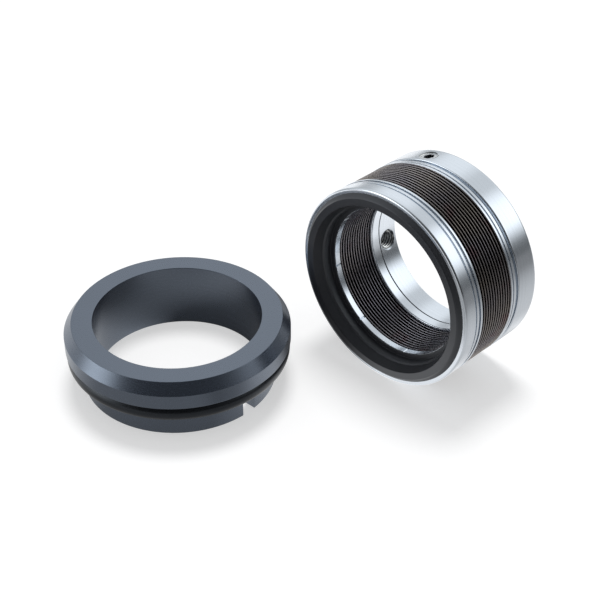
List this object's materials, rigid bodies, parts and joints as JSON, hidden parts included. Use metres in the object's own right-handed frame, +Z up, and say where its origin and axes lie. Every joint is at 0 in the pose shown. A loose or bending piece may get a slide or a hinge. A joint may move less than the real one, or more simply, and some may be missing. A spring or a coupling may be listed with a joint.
{
  "type": "component mechanical seal",
  "caption": "Mechanical shaft seal set: rotating unit with an edge-welded metal bellows, carbon face and set-screw drive collar, and its stationary ceramic seat with an O-ring.",
  "frame": {"origin": "on the shaft axis, in the plane of the two set screws", "axes": "+Y along the shaft from the sealing face to the drive collar, +Z up, the seat towards -X"},
  "size_m": [0.1094, 0.1067, 0.063],
  "materials": {
    "silicon_carbide": "satin ceramic, lapped on its nose",
    "elastomer": "satin black",
    "carbon": "matt black, lapped on its nose",
    "polished_steel": "fine turned and polished",
    "bellows_alloy": "heat-tinted thin sheet with bright weld beads",
    "screw_steel": "plain"
  },
  "bodies": {
    "set": {"drive_collar": "polished_steel", "rear_end_ring": "polished_steel", "shaft_o_ring": "elastomer", "set_screw_1": "screw_steel", "set_screw_2": "screw_steel", "bellows_convolution_01": "bellows_alloy", "bellows_convolution_02": "bellows_alloy", "bellows_convolution_03": "bellows_alloy", "bellows_convolution_04": "bellows_alloy", "bellows_convolution_05": "bellows_alloy", "bellows_convolution_06": "bellows_alloy", "bellows_convolution_07": "bellows_alloy", "bellows_convolution_08": "bellows_alloy", "bellows_convolution_09": "bellows_alloy", "bellows_convolution_10": "bellows_alloy", "bellows_convolution_11": "bellows_alloy", "bellows_convolution_12": "bellows_alloy", "seat": "silicon_carbide", "seat_o_ring": "elastomer"},
    "head": {"face_ring": "carbon", "face_retainer": "polished_steel", "front_end_ring": "polished_steel"}
  },
  "joints": [
    {"name": "bellows_travel", "type": "slide", "parent": "set", "child": "head", "axis": [0, 1, 0], "range_m": [0, 0.003], "stiffness_N_per_m": 20000, "deforming": ["bellows_convolution_01", "bellows_convolution_02", "bellows_convolution_03", "bellows_convolution_04", "bellows_convolution_05", "bellows_convolution_06", "bellows_convolution_07", "bellows_convolution_08", "bellows_convolution_09", "bellows_convolution_10", "bellows_convolution_11", "bellows_convolution_12"]}
  ]
}
